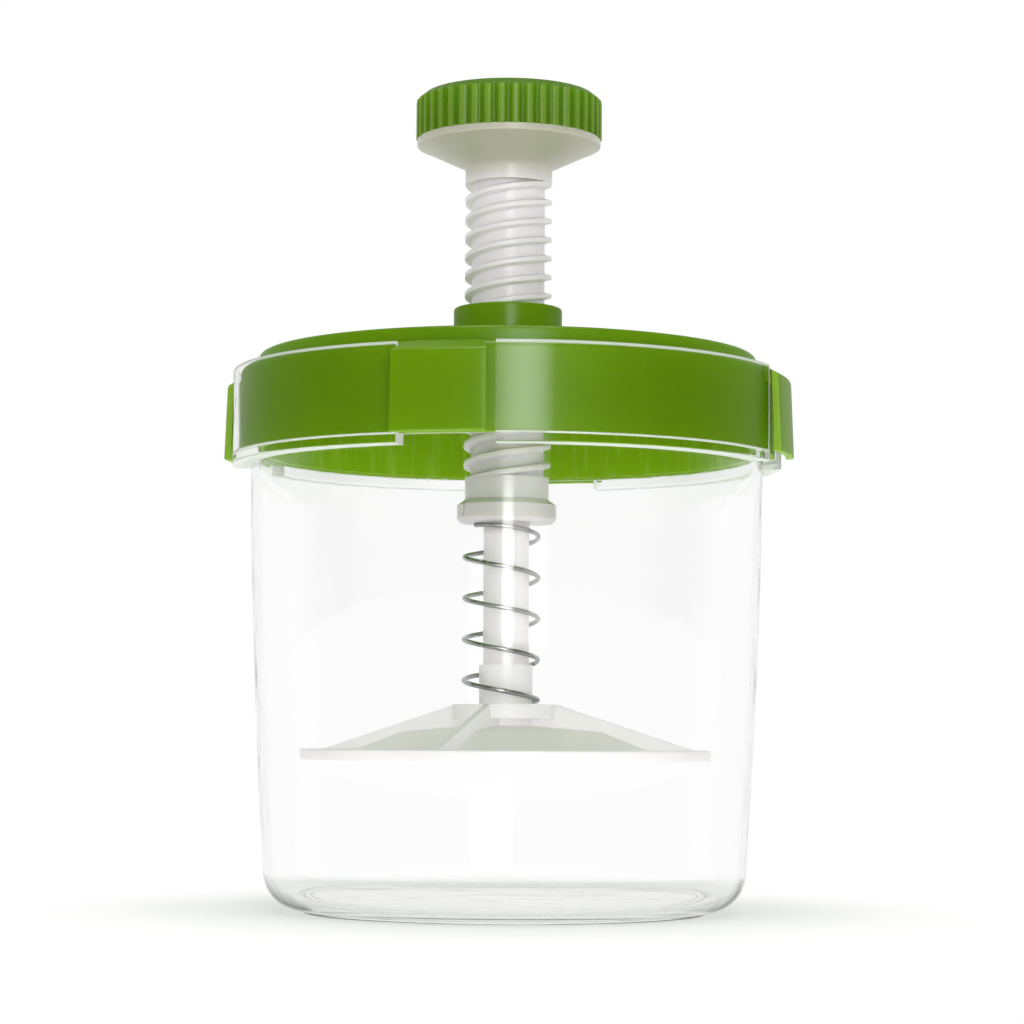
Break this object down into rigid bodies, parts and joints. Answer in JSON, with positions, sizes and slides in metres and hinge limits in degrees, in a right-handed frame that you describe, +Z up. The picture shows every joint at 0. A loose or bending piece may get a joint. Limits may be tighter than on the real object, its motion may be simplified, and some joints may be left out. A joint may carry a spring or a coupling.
{
  "type": "pickle press",
  "caption": "Clear pickle press container with a green lid, a hollow hand screw and a sprung press plate that keeps vegetables pushed down in their brine.",
  "frame": {"origin": "centre of the container's foot, where it stands on a table", "axes": "+Z up along the screw's axis; -Y towards the front claw, which the picture shows a little left of the middle"},
  "size_m": [0.1626, 0.1626, 0.2327],
  "materials": {
    "clear_plastic": "clear, glossy",
    "green_plastic": "satin moulded",
    "white_plastic": "satin, slightly translucent",
    "milky_plastic": "satin, translucent",
    "spring_steel": "bright drawn wire"
  },
  "bodies": {
    "container": {"container": "clear_plastic"},
    "lid": {"lid": "green_plastic"},
    "spring": {"spring": "spring_steel"},
    "screw": {"press_screw": "white_plastic", "knob_cap": "green_plastic", "stop_collar": "white_plastic"},
    "plunger": {"plunger_rod": "white_plastic", "press_plate": "milky_plastic"}
  },
  "joints": [
    {"name": "lid_lift", "type": "slide", "parent": "container", "child": "lid", "axis": [0, 0, 1], "range_m": [0, 0.12]},
    {"name": "screw_travel", "type": "slide", "parent": "lid", "child": "spring", "axis": [0, 0, 1], "range_m": [-0.0355, 0.0223]},
    {"name": "screw_turn", "type": "hinge", "parent": "spring", "child": "screw", "pos_m": [0, 0, 0.17], "axis": [0, 0, 1], "range_deg": [-1183, 743]},
    {"name": "plunger_slide", "type": "slide", "parent": "spring", "child": "plunger", "axis": [0, 0, 1], "range_m": [0, 0.0398], "stiffness_N_per_m": 740, "springref_m": -0.005, "deforming": ["spring"]}
  ],
  "couplings": [
    {"joint": "screw_travel", "follows": "screw_turn", "m_per_rad": 0.0017189}
  ]
}
